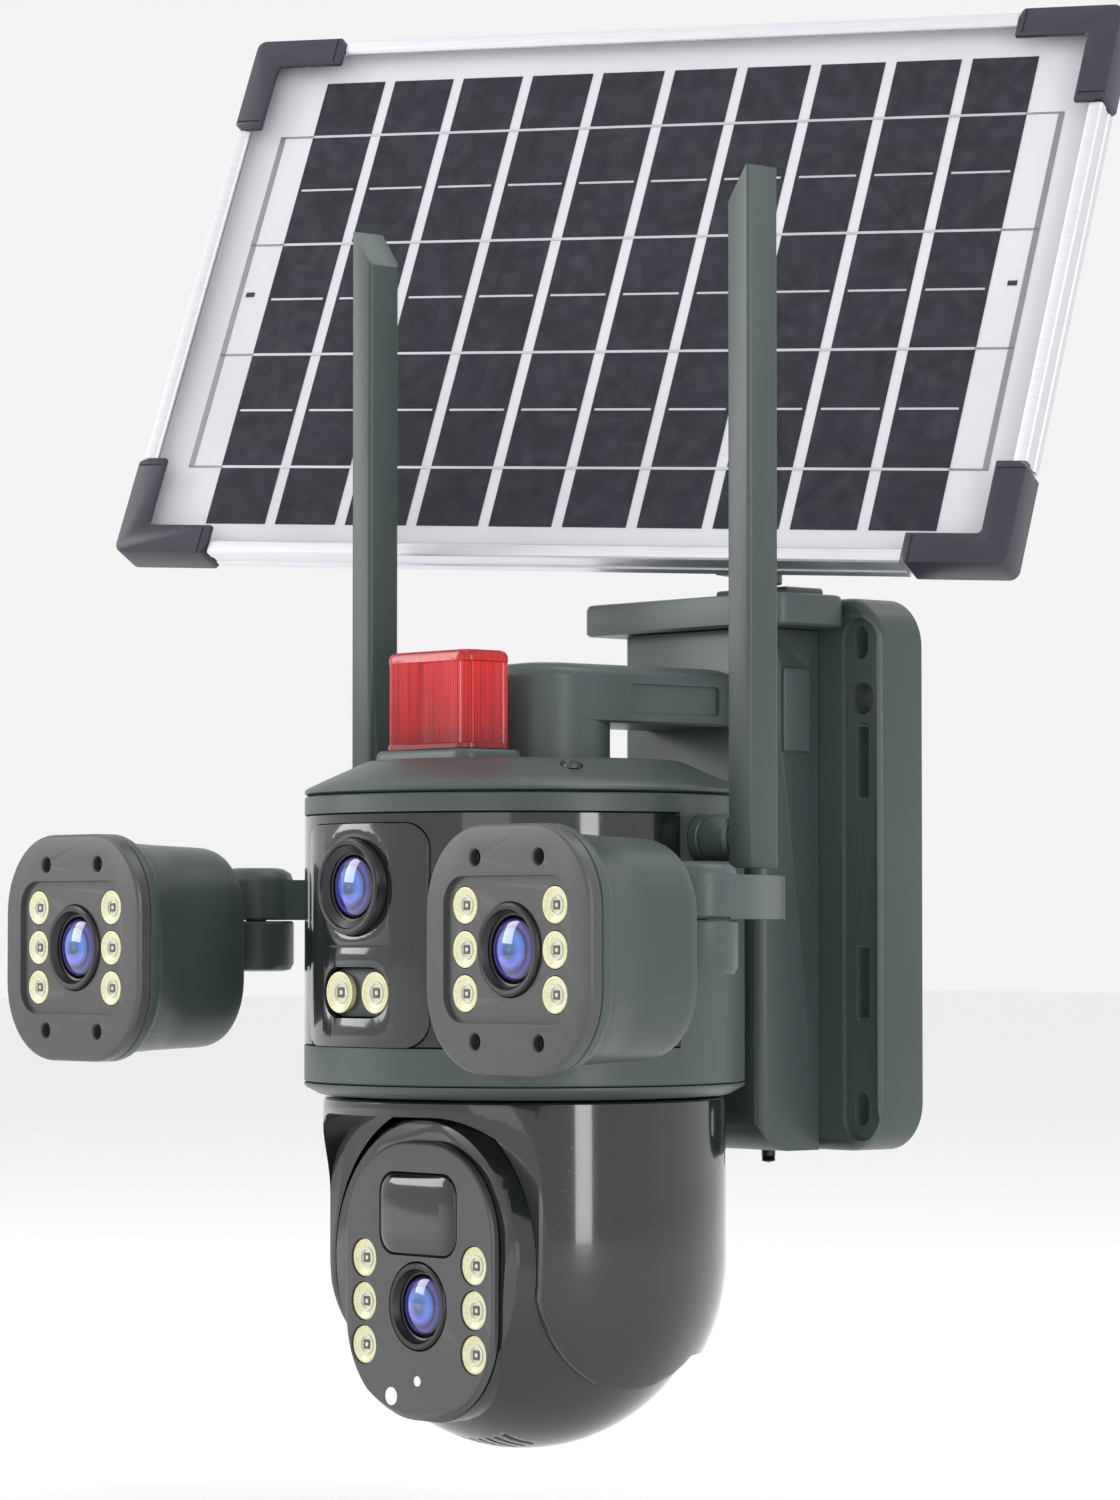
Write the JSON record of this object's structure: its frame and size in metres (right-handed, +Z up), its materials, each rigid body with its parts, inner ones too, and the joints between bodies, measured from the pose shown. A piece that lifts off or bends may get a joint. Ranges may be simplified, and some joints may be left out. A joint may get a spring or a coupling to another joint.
{
  "type": "solar-powered security camera",
  "caption": "Wall-hung camera with a panning dome, side cameras, folding antennas, a warning beacon and a tilting solar panel on a slotted wall case.",
  "frame": {"origin": "centre of the wall plate's back face", "axes": "+Z up, +Y into the wall, -Y the way the cameras look"},
  "size_m": [0.3258, 0.2599, 0.4285],
  "materials": {
    "slate": "satin moulded plastic",
    "gloss_black": "polished black plastic",
    "face_grey": "satin dark grey plate",
    "dark_plastic": "fine grained plastic",
    "lens_glass": "coated lens glass, opaque because dark parts are behind it",
    "lamp": "pale yellow phosphor in a clear lens",
    "red_lens": "ribbed red plastic",
    "steel": "plain steel",
    "aluminium": "anodised",
    "cover_glass": "clear tempered glass",
    "solar_cells": "dark cells on a pale sheet",
    "board": "solder mask",
    "cell_wrap": "shrink wrap"
  },
  "bodies": {
    "wall_mount": {"wall_plate": "slate", "wall_case": "slate", "hood": "slate", "main_housing": "slate", "top_cap": "slate", "lower_ring": "slate", "support_arm": "slate", "beacon_base": "slate", "antenna_stub_left": "slate", "antenna_stub_right": "slate", "panel_post": "slate", "front_window": "gloss_black", "front_bezel": "gloss_black", "upper_lens_barrel": "dark_plastic", "cable_gland": "dark_plastic", "alarm_speaker": "dark_plastic", "upper_lens_glass": "lens_glass", "lamp_pill": "lamp", "beacon_lens": "red_lens", "cap_screw": "steel", "pan_motor": "steel", "upper_sensor_board": "board", "beacon_board": "board", "main_board": "board", "charge_board": "board", "battery_cell_left": "cell_wrap", "battery_cell_right": "cell_wrap"},
    "dome_pan": {"dome_yoke": "gloss_black"},
    "dome_tilt": {"dome_ball": "gloss_black", "dome_face": "face_grey", "dome_lens_barrel": "dark_plastic", "dome_lens_glass": "lens_glass", "motion_sensor": "gloss_black", "dome_lamps": "lamp", "dome_sensor_board": "board", "tilt_motor": "steel"},
    "side_pan_left": {"side_knuckle_left": "slate"},
    "side_tilt_left": {"side_housing_left": "slate", "side_face_left": "face_grey", "side_left_lens_barrel": "dark_plastic", "side_left_lens_glass": "lens_glass", "side_lamps_left": "lamp"},
    "antenna_left": {"antenna_blade_left": "slate"},
    "side_pan_right": {"side_knuckle_right": "slate"},
    "side_tilt_right": {"side_housing_right": "slate", "side_face_right": "face_grey", "side_right_lens_barrel": "dark_plastic", "side_right_lens_glass": "lens_glass", "side_lamps_right": "lamp"},
    "antenna_right": {"antenna_blade_right": "slate"},
    "panel_turn": {"panel_head": "slate"},
    "panel_tilt": {"panel_bracket": "slate", "panel_frame": "aluminium", "panel_glass": "cover_glass", "panel_cells": "solar_cells", "junction_box": "dark_plastic", "corner_cap_lower_left": "dark_plastic", "corner_cap_lower_right": "dark_plastic", "corner_cap_upper_left": "dark_plastic", "corner_cap_upper_right": "dark_plastic"}
  },
  "joints": [
    {"name": "dome_pan_joint", "type": "hinge", "parent": "wall_mount", "child": "dome_pan", "pos_m": [0, -0.105, -0.0623], "axis": [0, 0, 1], "range_deg": [-177, 177]},
    {"name": "dome_tilt_joint", "type": "hinge", "parent": "dome_pan", "child": "dome_tilt", "pos_m": [0, -0.105, -0.107], "axis": [1, 0, 0], "range_deg": [-4, 75]},
    {"name": "side_pan_left_joint", "type": "hinge", "parent": "wall_mount", "child": "side_pan_left", "pos_m": [-0.094, -0.127, -0.021], "axis": [0, 0, 1], "range_deg": [-70, 15]},
    {"name": "side_tilt_left_joint", "type": "hinge", "parent": "side_pan_left", "child": "side_tilt_left", "pos_m": [-0.094, -0.145, -0.021], "axis": [1, 0, 0], "range_deg": [-20, 25]},
    {"name": "side_pan_right_joint", "type": "hinge", "parent": "wall_mount", "child": "side_pan_right", "pos_m": [0.094, -0.127, -0.021], "axis": [0, 0, 1], "range_deg": [-15, 70]},
    {"name": "side_tilt_right_joint", "type": "hinge", "parent": "side_pan_right", "child": "side_tilt_right", "pos_m": [0.094, -0.145, -0.021], "axis": [1, 0, 0], "range_deg": [-20, 25]},
    {"name": "antenna_left_fold", "type": "hinge", "parent": "wall_mount", "child": "antenna_left", "pos_m": [-0.0805, -0.0935, 0.009], "axis": [1, 0, 0], "range_deg": [0, 60]},
    {"name": "antenna_right_fold", "type": "hinge", "parent": "wall_mount", "child": "antenna_right", "pos_m": [0.0805, -0.0935, 0.009], "axis": [1, 0, 0], "range_deg": [0, 60]},
    {"name": "panel_turn_joint", "type": "hinge", "parent": "wall_mount", "child": "panel_turn", "pos_m": [0, -0.015, 0.1], "axis": [0, 0, 1], "range_deg": [-44, 0]},
    {"name": "panel_tilt_joint", "type": "hinge", "parent": "panel_turn", "child": "panel_tilt", "pos_m": [0, -0.015, 0.1], "axis": [0.9272, 0.3746, 0], "range_deg": [-35, 4]}
  ]
}
